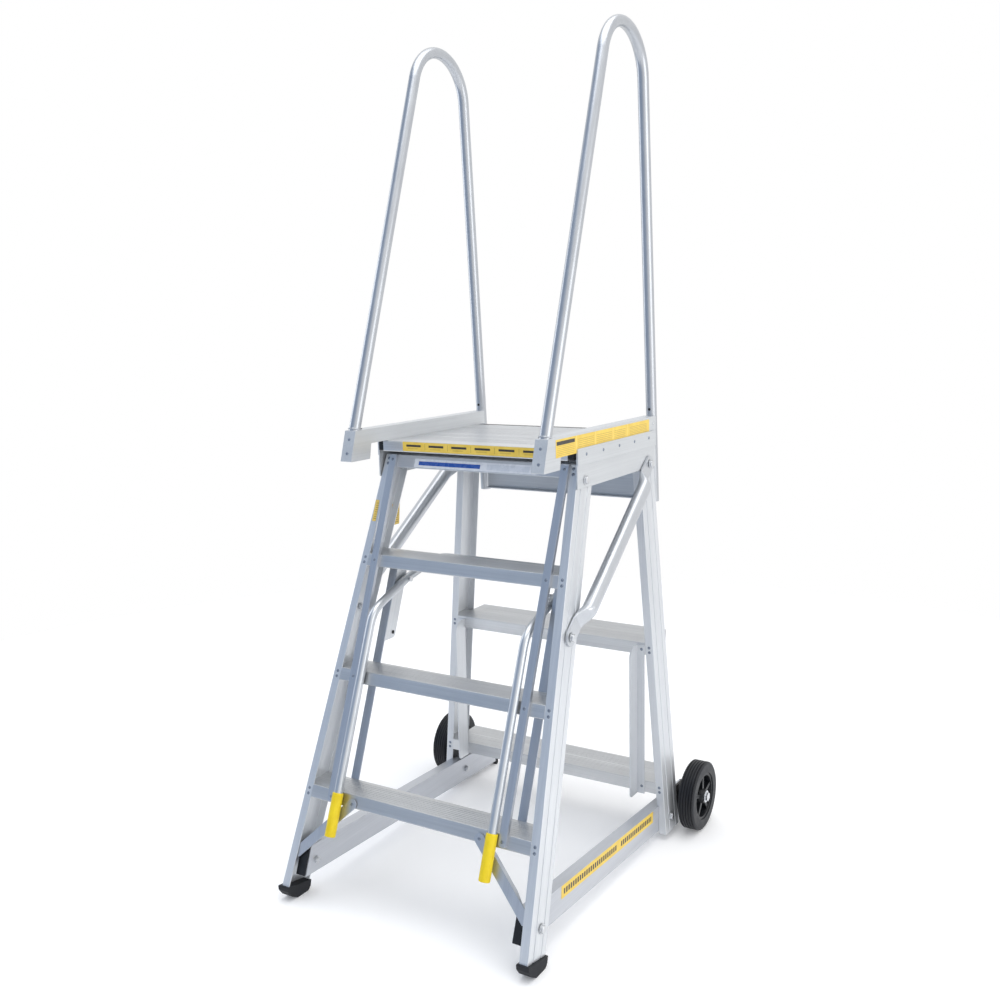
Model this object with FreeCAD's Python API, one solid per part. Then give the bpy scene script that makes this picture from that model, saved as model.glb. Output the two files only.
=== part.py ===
import FreeCAD, Part
import math
import os

# Platform step ladder: a leaning front frame with treads, an upright rear frame,
# a deck with handrail hoops, base rails with wheels, and a swinging carry handle.
# All lengths are millimetres. X is to the right as a climber sees it, Y runs from
# the front to the back and Z is up. Heights are taken from the floor and Y values
# from the line where the front frame's face would meet the floor.

V = FreeCAD.Vector

# Frame of the finished part: Y distance from the toe line to the footprint centre
CENTRE_Y = 514.3

# Front frame
LEAN = 0.386                 # rearward run of the front frame per unit of height
FRONT_FLARE = 0.068          # inward run of each front stile per unit of height
FRONT_WEB_X = 365.0          # stile outer face at floor level
STILE_WALL = 3.0
FRONT_FLANGE = 23.0
FRONT_DEPTH = 85.8           # horizontal depth of the front stile
FRONT_STILE_FOOT_Z = 10.0    # below the slanted cut of the stile's foot
FRONT_STILE_TOP_Z = 1109.0
SHOE_TOP = ((14.0, 41.0), (97.0, 25.0))     # Y and Z of the shoe's slanted rim
SHOE_GRIP = 6.0              # how far the stile reaches into the shoe
SHOE_SIDE = ((9.0, 30.0), (21.0, 13.0), (43.0, 0.0), (84.0, 0.0), (93.0, 9.0))    # toe, sole, heel
SHOE_SIDE_RADII = (6, 8, 8, 6, 6)
SHOE_IN_X = 336.0
SHOE_OUT_X = 369.0
FLANGE_RIVET_INSET = 12.0    # from a stile's outer face to the rivets in its flange
GROOVE_DEPTH = 1.4
GROOVE_WIDTH = 7.0

# Front treads
TREAD_TOPS = (285.0, 570.0, 855.0)
TREAD_HEIGHT = 31.0
TREAD_DEPTH = 80.0
EXTRUSION_WALL = 2.5
RIB_PITCH = 8.0
RIB_GAP = 2.0
RIB_DEPTH = 0.6
BEAM_TOP_Z = 1109.0
BEAM_HEIGHT = 33.0

# Tie strips in front of the treads and straps behind them
STRIP_X = 252.0
STRIP_DRIFT = 0.006          # outward run of a tie strip per unit of height
STRIP_WIDTH = 21.0
STRIP_DEPTH = 10.0
STRIP_WALL = 2.5
STRIP_FOOT_Z = 258.0
STRIP_RIVET_DROP = 15.0
STRAP_X = 252.0
STRAP_WIDTH = 24.0
STRAP_THICK = 3.0

# Knee braces under the lowest tread
KNEE_TOP = (189.0, 264.0)    # X and Z of the upper rivet
KNEE_FOOT = (334.0, 124.0)   # X and Z of the lower end
KNEE_WIDTH = 26.0
KNEE_THICK = 3.0
KNEE_FLANGE = 13.0
KNEE_PROUD = 1.2             # clearance of the plate in front of the tread
KNEE_RECESS = 7.5            # how far its foot sits behind the front plane
KNEE_FOLD_SHARE = 0.70       # the folded edge ends short of the base rail

# Base rails, splayed outwards towards the back
RAIL_IN_X = 313.8            # faces of the rail at RAIL_LEVEL_Y
RAIL_OUT_X = 346.1
RAIL_SPLAY = 0.0186          # outward run per unit of length
RAIL_HEIGHT = 73.7
RAIL_SLOPE = -0.0529
RAIL_LEVEL_Y = 500.0
RAIL_LEVEL_Z = 40.5          # underside of the rail at RAIL_LEVEL_Y
RAIL_FRONT_GAP = 18.0        # from the toe plane to the rail's front end
RAIL_REAR_Y = 1000.0
RAIL_WALL = 2.5
PLUG_THICK = 4.0
PLUG_REACH = 12.0            # how far the front plug goes into the rail
CLOSER_X = (346.0, 362.4)    # block that closes the foot of the rear stile
CLOSER_SIDE = ((784.0, 101.0), (784.0, 126.0), (867.0, 126.0), (867.0, 97.0))
PAD_IN_X = 325.0
PAD_WIDTH = 29.0
RAIL_BOLT_FRONT = (86.0, 93.5)
RAIL_BOLT_REAR = (818.0, 59.6)
SPACER_RADIUS = 9.0

# Rear frame
REAR_FACE_Y = 780.5
REAR_DEPTH = 90.5
REAR_WEB_X = 375.7
REAR_FLARE = 0.077
REAR_FLANGE = 23.0
REAR_FOOT_Z = 18.0
REAR_TOP_Z = 1108.0
REAR_TREADS = ((569.0, 75.0, 76.0), (167.0, 58.5, 72.0))   # top, front plank, back plank
REAR_TREAD_HEIGHT = 34.5
PLANK_GAP = 0.6
TIE_X = 287.0
TIE_FRONT_WIDTH = 21.0
TIE_SIDE_DEPTH = 50.0
TIE_TOP_Z = 562.0
TIE_FOOT_Z = 128.0

# Diagonal braces: lower and upper bolt points
BRACE_LOW = (320.3, 317.5, 710.2)
BRACE_HIGH = (302.2, 825.0, 1062.2)
BRACE_RADIUS = 19.0
BRACE_FLAT_WIDTH = 44.0
BRACE_FLAT_THICK = 5.0
BRACE_FLAT_LENGTH = 46.0
BRACE_NECK = 46.0
BRACE_OVERSIZE = 0.4         # the pressed rings stand proud of the flats

# Platform
DECK_TOP_Z = 1150.0
DECK_HEIGHT = 35.0
DECK_REAR_Y = 851.0
DECK_PLANKS = 5
NOSING_FRONT_Y = 397.0
NOSING_DEPTH = 44.0
NOSING_HEIGHT = 29.0
NOSING_HALF = 276.0
CAP_LENGTH = 15.0
SIDE_BEAM_X = 295.2
SIDE_BEAM_THICK = 3.0
SIDE_BAND_THICK = 2.0
SIDE_BAND_Z = 1108.0
SIDE_BEAM_FOOT_Z = 1050.5
SIDE_BEAM_FRONT_Y = 405.0
SIDE_BEAM_REAR_Y = 876.0
BEAM_BOLT = (447.5, 1069.6)
SKIRT_Y = 875.0
SKIRT_HALF = 248.0
SKIRT_FOOT_Z = 956.0
SKIRT_TOP_Z = 1146.5
SKIRT_FLANGE = 22.0
STRAP_Z = (1066.0, 1096.0)   # plates that hold the skirt
SADDLE_Z = (1010.0, 1040.0)  # blocks between the rear stiles and the hoops' legs
BAND_RIVET_Y = 450.8
BAND_RIVET_PITCH = 94.2
BAND_RIVET_Z = 1133.0

# Handrails
CHANNEL_IN_X = 262.0
CHANNEL_OUT_X = 296.0
CHANNEL_TOP_Z = 1188.0
CHANNEL_WALL = 2.0
CHANNEL_REAR_Y = 884.5
CHANNEL_FOOT_Z = 1110.0
CHANNEL_FRONT_Y = (242.0, 266.0)            # slanted front at its foot and at its top
CHANNEL_NECK_Y = (321.0, 328.0)             # back of the hanging end at its foot and at deck level
HOOP_X = 279.0
HOOP_RADIUS = 15.0
HOOP_WALL = 2.0
HOOP_BEND = 123.0
HOOP_FRONT_Y = 283.0         # front leg at the channel's top
HOOP_FRONT_LEAN = 0.345
HOOP_REAR_Y = 894.5
HOOP_REAR_LEAN = -0.064
HOOP_REAR_FOOT_Z = 945.0     # the rear legs run down behind the rear stiles

# Wheels
WHEEL_Y = 904.5
WHEEL_Z = 98.5
WHEEL_RADIUS = 97.0
TYRE_IN_X = 394.0
TYRE_WIDTH = 47.0
BRACKET_PLATE_X = 355.2
BRACKET_PLATE_THICK = 6.0
BRACKET_PLATE_Z = (46.0, 120.5)
BRACKET_SLEEVE_RADIUS = 17.0
AXLE_WASHER_RADIUS = 17.0
AXLE_HEAD_FLATS = 22.0
RIM_RADIUS = 66.0
AXLE_RADIUS = 8.0
RUNNING_GAP = 0.05
SPOKES = 5

# Carry handle
HANDLE_X = 228.0
HANDLE_RADIUS = 11.0
HANDLE_WALL = 2.0
HANDLE_FOOT = (54.8, 191.0)
HANDLE_KNEE = (264.0, 720.0)
HANDLE_PIVOT = (415.0, 775.0)
HANDLE_CROSS = (566.0, 806.0)
GRIP_RADIUS = 14.0
GRIP_LENGTH = 109.0
PIVOT_RADIUS = 4.0
BRACKET_FOOT_Z = 622.0
BRACKET_TOP_Z = 802.0
BRACKET_DEPTH = 128.0        # from the toe plane to the bracket's rear edge
BRACKET_HOLE_Z = 637.0
BRACKET_HOLE_BEHIND = 115.0
PLUG_RADIUS = 3.6

# Fasteners
RIVET_RADIUS = 4.2
RIVET_HEIGHT = 1.8
RIVET_PITCH = 13.0
BOLT_RADIUS = 6.0
NUT_FLATS = 17.0
NUT_THICK = 7.0
HOLE_GAP = 0.25
SEAT_GAP = 1.0               # between a nut or head and a leaning web


# Generous X limits of cutting tools on the right-hand side
CUT_LOW_X = 200.0
CUT_HIGH_X = 420.0


def vec(point):
    return V(point[0], point[1], point[2])


def rounded_wire(points, radii):
    # Closed wire through the points, each corner rounded by its radius
    count = len(points)
    edges = []
    ends = []
    for i in range(count):
        corner = points[i]
        to_prev = (points[i - 1] - corner).normalize()
        to_next = (points[(i + 1) % count] - corner).normalize()
        radius = radii[i]
        if radius <= 0:
            ends.append((corner, None, corner))
            continue
        half = to_prev.getAngle(to_next) / 2
        reach = radius / math.tan(half)
        bisector = (to_prev + to_next).normalize()
        middle = corner + bisector * (radius / math.sin(half) - radius)
        ends.append((corner + to_prev * reach, middle, corner + to_next * reach))
    for i in range(count):
        start, middle, stop = ends[i]
        if middle is not None:
            edges.append(Part.Arc(start, middle, stop).toShape())
        following = ends[(i + 1) % count][0]
        if (following - stop).Length > 1e-6:
            edges.append(Part.LineSegment(stop, following).toShape())
    return Part.Wire(edges)


def extruded(points, radii, direction):
    return Part.Face(rounded_wire(points, radii)).extrude(direction)


def side_profile(outline, x_low, x_high, radii=None):
    # Extrude a (Y, Z) outline along X
    points = [V(x_low, y, z) for y, z in outline]
    if radii is None:
        radii = [0.0] * len(points)
    return extruded(points, radii, V(x_high - x_low, 0, 0))


def block(x_low, x_high, y_low, y_high, z_low, z_high):
    return Part.makeBox(x_high - x_low, y_high - y_low, z_high - z_low, V(x_low, y_low, z_low))


def rod_x(radius, x_low, x_high, y, z):
    return Part.makeCylinder(radius, x_high - x_low, V(x_low, y, z), V(1, 0, 0))


def hexagon_x(across_flats, x_low, x_high, y, z):
    corner = across_flats / math.sqrt(3)
    outline = []
    for i in range(6):
        angle = math.radians(60 * i + 30)
        outline.append((y + corner * math.cos(angle), z + corner * math.sin(angle)))
    return side_profile(outline, x_low, x_high)


def mirrored(shape):
    return shape.mirror(V(0, 0, 0), V(1, 0, 0))


def front_y(z, behind=0.0):
    # Y of a point that lies a horizontal distance behind the front plane
    return LEAN * z + behind


def front_web_x(z):
    return FRONT_WEB_X - FRONT_FLARE * z


def rear_web_x(z):
    return REAR_WEB_X - REAR_FLARE * z


def rail_under_z(y):
    return RAIL_LEVEL_Z + RAIL_SLOPE * (y - RAIL_LEVEL_Y)


def rail_faces(y):
    shift = RAIL_SPLAY * (y - RAIL_LEVEL_Y)
    return RAIL_IN_X + shift, RAIL_OUT_X + shift


def splayed(shape):
    # Turn a straight rail shape outwards about its middle
    turned = shape.copy()
    pivot = V((RAIL_IN_X + RAIL_OUT_X) / 2, RAIL_LEVEL_Y, 0)
    turned.rotate(pivot, V(0, 0, 1), -math.degrees(math.atan(RAIL_SPLAY)))
    return turned


def channel_outline(web_x, depth, flange, wall):
    # C section open towards the middle, with two shallow grooves on its outer face
    inner = web_x - wall
    tip = web_x - flange
    points = [(web_x, 0.0), (tip, 0.0), (tip, wall), (inner, wall),
              (inner, depth - wall), (tip, depth - wall), (tip, depth), (web_x, depth)]
    radii = [1.5, 1.0, 1.0, 0.8, 0.8, 1.0, 1.0, 1.5]
    for centre in (depth * 0.72, depth * 0.28):
        half = GROOVE_WIDTH / 2
        points += [(web_x, centre + half), (web_x - GROOVE_DEPTH, centre + half - 0.5),
                   (web_x - GROOVE_DEPTH, centre - half + 0.5), (web_x, centre - half)]
        radii += [0.3, 0.0, 0.0, 0.3]
    return points, radii


def leaning_channel(points, radii, x_run, y_run, y_start, z_low, z_high):
    placed = [V(x + x_run * z_low, y_start + y + y_run * z_low, z_low) for x, y in points]
    rise = z_high - z_low
    return extruded(placed, radii, V(x_run * rise, y_run * rise, rise))


def slab(origin, along, across, outline, radii, thick):
    # Plate whose outline is drawn in a plane; it thickens towards along x across
    points = [origin + across * u + along * v for u, v in outline]
    return extruded(points, radii, along.cross(across).normalize() * thick)


def tube(points, bends, outer, inner):
    # Hollow tube along straight runs joined by arcs
    edges = []
    start = points[0]
    for i in range(1, len(points) - 1):
        corner = points[i]
        to_prev = (points[i - 1] - corner).normalize()
        to_next = (points[i + 1] - corner).normalize()
        half = to_prev.getAngle(to_next) / 2
        reach = bends[i - 1] / math.tan(half)
        bisector = (to_prev + to_next).normalize()
        middle = corner + bisector * (bends[i - 1] / math.sin(half) - bends[i - 1])
        first = corner + to_prev * reach
        last = corner + to_next * reach
        edges.append(Part.LineSegment(start, first).toShape())
        edges.append(Part.Arc(first, middle, last).toShape())
        start = last
    edges.append(Part.LineSegment(start, points[-1]).toShape())
    path = Part.Wire(edges)
    heading = points[1] - points[0]
    solids = []
    for radius in (outer, inner):
        ring = Part.Wire([Part.makeCircle(radius, points[0], heading)])
        solids.append(path.makePipeShell([ring], True, True))
    return solids[0].cut(solids[1])


def dome(point, normal):
    # Low rivet head sitting on a face
    ball = (RIVET_RADIUS ** 2 + RIVET_HEIGHT ** 2) / (2 * RIVET_HEIGHT)
    top = V(0, 0, RIVET_HEIGHT)
    rim = V(RIVET_RADIUS, 0, 0)
    middle_angle = math.asin(RIVET_RADIUS / ball) / 2
    middle = V(ball * math.sin(middle_angle), 0, RIVET_HEIGHT - ball + ball * math.cos(middle_angle))
    edges = [Part.LineSegment(V(0, 0, 0), rim).toShape(),
             Part.Arc(rim, middle, top).toShape(),
             Part.LineSegment(top, V(0, 0, 0)).toShape()]
    head = Part.Face(Part.Wire(edges)).revolve(V(0, 0, 0), V(0, 0, 1), 360)
    head.Placement = FreeCAD.Placement(point, FreeCAD.Rotation(V(0, 0, 1), normal))
    return head


FRONT_NORMAL = V(0, -1, LEAN).normalize()
FRONT_UP = V(0, LEAN, 1).normalize()


def rim_z(y):
    # Height of the shoe's slanted rim
    (y0, z0), (y1, z1) = SHOE_TOP
    return z0 + (z1 - z0) * (y - y0) / (y1 - y0)


def front_stile():
    points, radii = channel_outline(FRONT_WEB_X, FRONT_DEPTH, FRONT_FLANGE, STILE_WALL)
    stile = leaning_channel(points, radii, -FRONT_FLARE, LEAN, 0.0, FRONT_STILE_FOOT_Z, FRONT_STILE_TOP_Z)
    below = [(-50, rim_z(-50) - SHOE_GRIP), (200, rim_z(200) - SHOE_GRIP), (200, -50), (-50, -50)]
    stile = stile.cut(side_profile(below, CUT_LOW_X, CUT_HIGH_X))
    # slot in the rear flange that lets the base rail into the channel
    stile = stile.cut(base_rail_envelope(0.3))
    for y, z in (RAIL_BOLT_FRONT, BRACE_LOW[1:], BEAM_BOLT):
        stile = stile.cut(rod_x(BOLT_RADIUS + HOLE_GAP, CUT_LOW_X, CUT_HIGH_X, y, z))
    return stile


def front_foot(stile):
    # Rubber shoe under the stile: upturned toe, flat sole and slanted rim
    (y0, z0), (y1, z1) = SHOE_TOP
    lip_y = SHOE_SIDE[0][0] - 1
    outline = [(lip_y, z0 + 1)] + list(SHOE_SIDE) + [(y1, z1), (y0, z0)]
    shoe = side_profile(outline, SHOE_IN_X, SHOE_OUT_X, [2] + list(SHOE_SIDE_RADII) + [1, 1])
    shoe = shoe.cut(stile)
    return max(shoe.Solids, key=lambda solid: solid.Volume)


def tread_outline(top_z, height):
    # Leaning box section with anti-slip ribs along its top
    bottom_z = top_z - height
    points = [(front_y(bottom_z), bottom_z), (front_y(top_z), top_z)]
    radii = [2.0, 2.5]
    gaps = int((TREAD_DEPTH - 10) / RIB_PITCH)
    for i in range(gaps):
        start = front_y(top_z) + 7 + i * RIB_PITCH
        points += [(start, top_z), (start, top_z - RIB_DEPTH),
                   (start + RIB_GAP, top_z - RIB_DEPTH), (start + RIB_GAP, top_z)]
        radii += [0, 0, 0, 0]
    points += [(front_y(top_z, TREAD_DEPTH), top_z), (front_y(bottom_z, TREAD_DEPTH), bottom_z)]
    radii += [1.5, 1.5]
    return points, radii


def front_tread(top_z, height, stiles):
    half = front_web_x(top_z) - STILE_WALL - 0.05
    points, radii = tread_outline(top_z, height)
    solid = side_profile(points, -half, half, radii)
    wall = EXTRUSION_WALL
    roof_z = top_z - RIB_DEPTH - wall
    floor_z = top_z - height + wall
    for start, stop in ((wall, TREAD_DEPTH / 2 - wall / 2), (TREAD_DEPTH / 2 + wall / 2, TREAD_DEPTH - wall)):
        hollow = [(front_y(floor_z, start), floor_z), (front_y(roof_z, start), roof_z),
                  (front_y(roof_z, stop), roof_z), (front_y(floor_z, stop), floor_z)]
        solid = solid.cut(side_profile(hollow, -half - 1, half + 1))
    for stile in stiles:
        solid = solid.cut(stile)
    return max(solid.Solids, key=lambda part: part.Volume)


def tie_strip():
    # Shallow channel strip lying on the tread fronts, rounded at its lower end
    along = V(STRIP_DRIFT, LEAN, 1).normalize()
    across = V(1, 0, 0)
    z_low = STRIP_FOOT_Z
    length = (BEAM_TOP_Z - 2 - z_low) / along.z
    origin = V(STRIP_X + STRIP_DRIFT * z_low, front_y(z_low), z_low)
    half = STRIP_WIDTH / 2
    outline = [(-half, 0), (half, 0), (half, length), (-half, length)]
    strip = slab(origin, along, across, outline, [half - 0.5, half - 0.5, 1, 1], -STRIP_DEPTH)
    inner = half - STRIP_WALL
    hollow = [(-inner, 12), (inner, 12), (inner, length + 5), (-inner, length + 5)]
    strip = strip.cut(slab(origin, along, across, hollow, [0, 0, 0, 0], STRIP_WALL - STRIP_DEPTH))
    return strip


def rear_strap():
    low_z = TREAD_TOPS[0] - TREAD_HEIGHT + 3
    high_z = TREAD_TOPS[2] - 3
    length = (high_z - low_z) / FRONT_UP.z
    origin = V(STRAP_X, front_y(low_z, TREAD_DEPTH), low_z)
    half = STRAP_WIDTH / 2
    outline = [(-half, 0), (half, 0), (half, length), (-half, length)]
    return slab(origin, FRONT_UP, V(1, 0, 0), outline, [3, 3, 3, 3], STRAP_THICK)


def knee_frame():
    # Start point and directions of a knee brace, with its outer face towards the front
    top = V(KNEE_TOP[0], front_y(KNEE_TOP[1], -KNEE_PROUD), KNEE_TOP[1])
    foot = V(KNEE_FOOT[0], front_y(KNEE_FOOT[1], KNEE_RECESS), KNEE_FOOT[1])
    along = (foot - top).normalize()
    normal = (FRONT_NORMAL - along * FRONT_NORMAL.dot(along)).normalize()
    upper = normal.cross(along).normalize()
    if upper.z < 0:
        upper = upper * -1
    return top, along, upper, normal, (foot - top).Length


def plate(origin, along, across, outline, radii, depth):
    # Flat plate from (across, along) points, thickened by the depth vector
    points = [origin + across * u + along * v for u, v in outline]
    return extruded(points, radii, depth)


def knee_brace():
    # Angle strip from the lowest tread's face down to the stile, behind its flange
    top, along, upper, normal, length = knee_frame()
    half = KNEE_WIDTH / 2
    end = length + 8
    outline = [(-half, -half), (half, -half), (half, end), (-half, end)]
    face = plate(top, along, upper, outline, [half - 0.5, half - 0.5, 2, 2], normal * KNEE_THICK)
    # folded edge behind the plate, along its upper side
    start = half + KNEE_FLANGE
    stop = length * KNEE_FOLD_SHARE
    edge = [(-KNEE_FLANGE, start + 6), (0.5, start), (0.5, stop + 40), (-KNEE_FLANGE, stop)]
    fold = plate(top + upper * (half - KNEE_THICK), along, normal, edge, [3, 0, 0, 0], upper * KNEE_THICK)
    return face.fuse(fold).removeSplitter()


def base_rail_outline(grow, front_gap, rear_y):
    def edge(offset):
        level = RAIL_LEVEL_Z + offset - RAIL_SLOPE * RAIL_LEVEL_Y
        z = (level + RAIL_SLOPE * front_gap) / (1 - RAIL_SLOPE * LEAN)
        return (front_y(z, front_gap), z)
    low_front = edge(-grow)
    high_front = edge(RAIL_HEIGHT + grow)
    high_rear = (rear_y, rail_under_z(rear_y) + RAIL_HEIGHT + grow)
    low_rear = (rear_y, rail_under_z(rear_y) - grow)
    return [low_front, high_front, high_rear, low_rear]


def base_rail_envelope(grow):
    outline = base_rail_outline(grow, RAIL_FRONT_GAP - grow - PLUG_THICK, RAIL_REAR_Y + 5)
    return splayed(side_profile(outline, RAIL_IN_X - grow, RAIL_OUT_X + grow))


def base_rail():
    rail = side_profile(base_rail_outline(0, RAIL_FRONT_GAP, RAIL_REAR_Y),
                        RAIL_IN_X, RAIL_OUT_X, [1, 1, 1, 1])
    hollow = side_profile(base_rail_outline(-RAIL_WALL, RAIL_FRONT_GAP - 9, RAIL_REAR_Y + 9),
                          RAIL_IN_X + RAIL_WALL, RAIL_OUT_X - RAIL_WALL)
    rail = splayed(rail.cut(hollow))
    for y, z in (RAIL_BOLT_FRONT, RAIL_BOLT_REAR):
        rail = rail.cut(rod_x(BOLT_RADIUS + HOLE_GAP, CUT_LOW_X, CUT_HIGH_X, y, z))
    return rail


def rail_end_plugs():
    # Caps on both ends of the rail, and a block above it that closes the rear stile's foot
    inset = RAIL_WALL + 0.05
    front = side_profile(base_rail_outline(-inset, RAIL_FRONT_GAP - PLUG_THICK, RAIL_REAR_Y),
                         RAIL_IN_X + inset, RAIL_OUT_X - inset)
    behind = base_rail_outline(RAIL_HEIGHT, RAIL_FRONT_GAP + PLUG_REACH, 2 * RAIL_REAR_Y)
    front = front.cut(side_profile(behind, CUT_LOW_X, CUT_HIGH_X))
    low = rail_under_z(RAIL_REAR_Y)
    rear = block(RAIL_IN_X, RAIL_OUT_X, RAIL_REAR_Y, RAIL_REAR_Y + PLUG_THICK, low, low + RAIL_HEIGHT)
    closer = side_profile(CLOSER_SIDE, CLOSER_X[0], CLOSER_X[1])
    return [splayed(front), splayed(rear), closer]


def rear_pad():
    # Rubber foot on the end cap, standing on the floor
    y = RAIL_REAR_Y + PLUG_THICK + 0.4
    outline = [(y, 30), (y, 4), (y + 4, 0), (y + 12, 0), (y + 16, 5), (y + 14, 24)]
    return side_profile(outline, PAD_IN_X, PAD_IN_X + PAD_WIDTH, [1, 2, 1, 1, 3, 4])


def rear_stile():
    points, radii = channel_outline(REAR_WEB_X, REAR_DEPTH, REAR_FLANGE, STILE_WALL)
    stile = leaning_channel(points, radii, -REAR_FLARE, 0.0, REAR_FACE_Y, REAR_FOOT_Z, REAR_TOP_Z)
    stile = stile.cut(base_rail_envelope(0.3))
    for y, z in (RAIL_BOLT_REAR, BRACE_HIGH[1:]):
        stile = stile.cut(rod_x(BOLT_RADIUS + HOLE_GAP, CUT_LOW_X, CUT_HIGH_X, y, z))
    return stile


def plank(top_z, height, y_low, y_high, half):
    # Hollow plank with a ribbed top
    points = [(y_low, top_z - height), (y_low, top_z)]
    radii = [1.5, 1.5]
    gaps = int((y_high - y_low - 8) / RIB_PITCH)
    first = (y_low + y_high - gaps * RIB_PITCH + RIB_PITCH - RIB_GAP) / 2
    for i in range(gaps):
        start = first + i * RIB_PITCH
        points += [(start, top_z), (start, top_z - RIB_DEPTH),
                   (start + RIB_GAP, top_z - RIB_DEPTH), (start + RIB_GAP, top_z)]
        radii += [0, 0, 0, 0]
    points += [(y_high, top_z), (y_high, top_z - height)]
    radii += [1.5, 1.5]
    solid = side_profile(points, -half, half, radii)
    wall = EXTRUSION_WALL
    middle = (y_low + y_high) / 2
    for start, stop in ((y_low + wall, middle - wall / 2), (middle + wall / 2, y_high - wall)):
        hollow = block(-half - 1, half + 1, start, stop, top_z - height + wall, top_z - RIB_DEPTH - wall)
        solid = solid.cut(hollow)
    return solid


def rear_tread(top_z, front_depth, back_depth, stiles):
    seam = REAR_FACE_Y + front_depth
    reach = rear_web_x(top_z) - STILE_WALL - 0.05
    front = plank(top_z, REAR_TREAD_HEIGHT, REAR_FACE_Y, seam, reach)
    for stile in stiles:
        front = front.cut(stile)
    front = max(front.Solids, key=lambda part: part.Volume)
    back_half = rear_web_x(top_z) - REAR_FLANGE - 1.0
    back = plank(top_z, REAR_TREAD_HEIGHT, seam + PLANK_GAP, seam + back_depth, back_half)
    return front, back


def rear_tie():
    # Angle joining the two rear treads: one leg on their faces, one leg pointing forwards
    face = block(TIE_X, TIE_X + TIE_FRONT_WIDTH, REAR_FACE_Y - 3, REAR_FACE_Y, TIE_FOOT_Z, TIE_TOP_Z)
    outline = [(REAR_FACE_Y, TIE_FOOT_Z), (REAR_FACE_Y, TIE_TOP_Z),
               (REAR_FACE_Y - TIE_SIDE_DEPTH, TIE_TOP_Z), (REAR_FACE_Y - TIE_SIDE_DEPTH, TIE_FOOT_Z)]
    side = side_profile(outline, TIE_X - 3, TIE_X, [0, 0, 30, 12])
    return face.fuse(side).removeSplitter()


def oval(centre, along, side, width, thick, power):
    # Closed smooth ring, from a circle (power 2) to a flat lozenge (higher power)
    other = along.cross(side).normalize()
    points = []
    count = 32
    for i in range(count):
        angle = 2 * math.pi * i / count
        cosine = math.cos(angle)
        sine = math.sin(angle)
        u = math.copysign(abs(cosine) ** (2 / power), cosine) * width / 2
        v = math.copysign(abs(sine) ** (2 / power), sine) * thick / 2
        points.append(centre + other * u + side * v)
    curve = Part.BSplineCurve()
    curve.interpolate(Points=points, PeriodicFlag=True)
    return Part.Wire([curve.toShape()])


def brace_rings(end, along, side):
    # Sections from the pressed flat to the round tube, flush on their inner side
    rings = []
    steps = 6
    grown = BRACE_OVERSIZE
    for i in range(steps + 1):
        share = i / steps
        ease = (1 - math.cos(math.pi * share)) / 2
        width = BRACE_FLAT_WIDTH + grown + (2 * BRACE_RADIUS - BRACE_FLAT_WIDTH - grown) * ease
        thick = BRACE_FLAT_THICK + grown + (2 * BRACE_RADIUS - BRACE_FLAT_THICK - grown) * ease
        reach = BRACE_FLAT_LENGTH + BRACE_NECK * share
        centre = end + along * reach + side * ((thick - BRACE_FLAT_THICK) / 2)
        rings.append((centre, width, thick, 6.0 - 4.0 * ease))
    return rings


def diagonal_brace():
    # Round tube whose ends are pressed flat and rounded around their bolts
    low = vec(BRACE_LOW)
    high = vec(BRACE_HIGH)
    along = (high - low).normalize()
    side = V(1, 0, (FRONT_FLARE + REAR_FLARE) / 4)
    side = (side - along * side.dot(along)).normalize()
    across = along.cross(side).normalize()
    stations = brace_rings(low, along, side)
    stations += reversed(brace_rings(high, along * -1, side))
    body = Part.makeLoft([oval(centre, along, side, width, thick, power)
                          for centre, width, thick, power in stations], True, True)
    half = BRACE_FLAT_WIDTH / 2
    for end, step in ((low, along), (high, along * -1)):
        base = end - side * (BRACE_FLAT_THICK / 2)
        reach = BRACE_FLAT_LENGTH + 3
        outline = [(-half, -half), (half, -half), (half, reach), (-half, reach)]
        body = body.fuse(plate(base, step, across, outline, [half - 0.5, half - 0.5, 0, 0], side * BRACE_FLAT_THICK))
    for end in (low, high):
        body = body.cut(rod_x(BOLT_RADIUS + HOLE_GAP, end.x - 30, end.x + 30, end.y, end.z))
    return max(body.Solids, key=lambda part: part.Volume)


def deck_planks():
    front = NOSING_FRONT_Y + NOSING_DEPTH + PLANK_GAP
    pitch = (DECK_REAR_Y - front) / DECK_PLANKS
    planks = []
    for i in range(DECK_PLANKS):
        start = front + i * pitch
        planks.append(plank(DECK_TOP_Z, DECK_HEIGHT, start, start + pitch - PLANK_GAP, SIDE_BEAM_X))
    return planks


def nosing():
    y = NOSING_FRONT_Y
    rear = y + NOSING_DEPTH
    top = DECK_TOP_Z
    low = top - NOSING_HEIGHT
    outline = [(y, low), (y, top), (rear, top), (rear, low + 3), (y + 18, low + 3), (y + 18, low)]
    solid = side_profile(outline, -NOSING_HALF, NOSING_HALF, [2, 3, 1, 1, 0, 3])
    hollow = [(y + 3, low + 6), (y + 3, top - 4), (rear - 3, top - 4), (rear - 3, low + 6)]
    return solid.cut(side_profile(hollow, -NOSING_HALF - 1, NOSING_HALF + 1, [1, 1, 1, 1]))


def nosing_cap():
    y = NOSING_FRONT_Y + 1
    low = DECK_TOP_Z - NOSING_HEIGHT + 1
    high = DECK_TOP_Z - 1.5
    return side_profile([(y, low), (y, high), (y + 22, high), (y + 22, low)],
                        NOSING_HALF, NOSING_HALF + CAP_LENGTH, [4, 4, 2, 2])


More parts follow.
